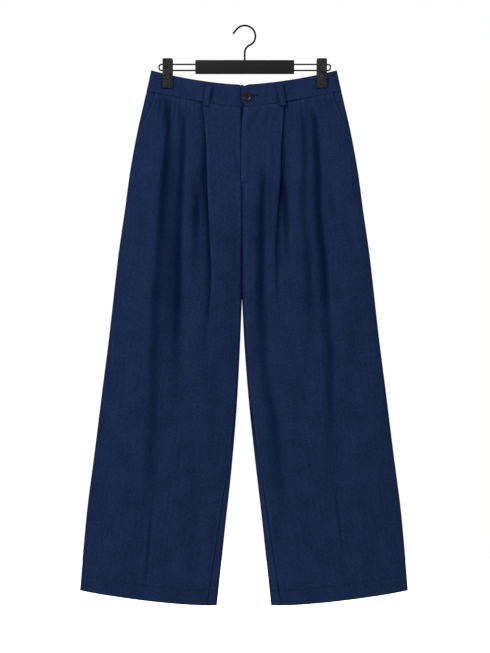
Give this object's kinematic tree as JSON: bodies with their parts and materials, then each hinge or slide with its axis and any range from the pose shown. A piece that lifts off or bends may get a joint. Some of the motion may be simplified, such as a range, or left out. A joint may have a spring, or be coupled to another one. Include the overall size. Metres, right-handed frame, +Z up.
{
  "type": "wide-leg trousers on a clip hanger",
  "caption": "Wide-leg pleated trousers with a buttoned waistband, belt loops and slant pockets, hanging flat from a black clip hanger with a wire hook.",
  "frame": {"origin": "underside of the hook's arch, where the hook rests on a rail", "axes": "+X to the viewer's right as the front is seen, +Y from the front to the back, +Z up"},
  "size_m": [0.656, 0.0487, 1.1607],
  "materials": {
    "navy_cloth": "matte",
    "dark_horn_button": "satin",
    "black_wire": "satin",
    "black_plastic": "satin",
    "charcoal_plastic": "matte"
  },
  "bodies": {
    "root": {"front_left": "navy_cloth", "front_right": "navy_cloth", "back_left": "navy_cloth", "back_right": "navy_cloth", "pocket_facing_left": "navy_cloth", "pocket_facing_right": "navy_cloth", "waistband_front_left": "navy_cloth", "waistband_front_right": "navy_cloth", "waistband_back": "navy_cloth", "belt_loop_front_left": "navy_cloth", "belt_loop_front_right": "navy_cloth", "belt_loop_back_left": "navy_cloth", "belt_loop_back_middle": "navy_cloth", "belt_loop_back_right": "navy_cloth", "button": "dark_horn_button", "hanger_hook": "black_wire", "hanger_bar": "black_plastic", "rail_left": "black_wire", "rail_right": "black_wire", "clip_left_jaw_front": "charcoal_plastic", "clip_left_jaw_back": "charcoal_plastic", "clip_left_slider": "charcoal_plastic", "clip_right_jaw_front": "charcoal_plastic", "clip_right_jaw_back": "charcoal_plastic", "clip_right_slider": "charcoal_plastic"}
  },
  "joints": []
}
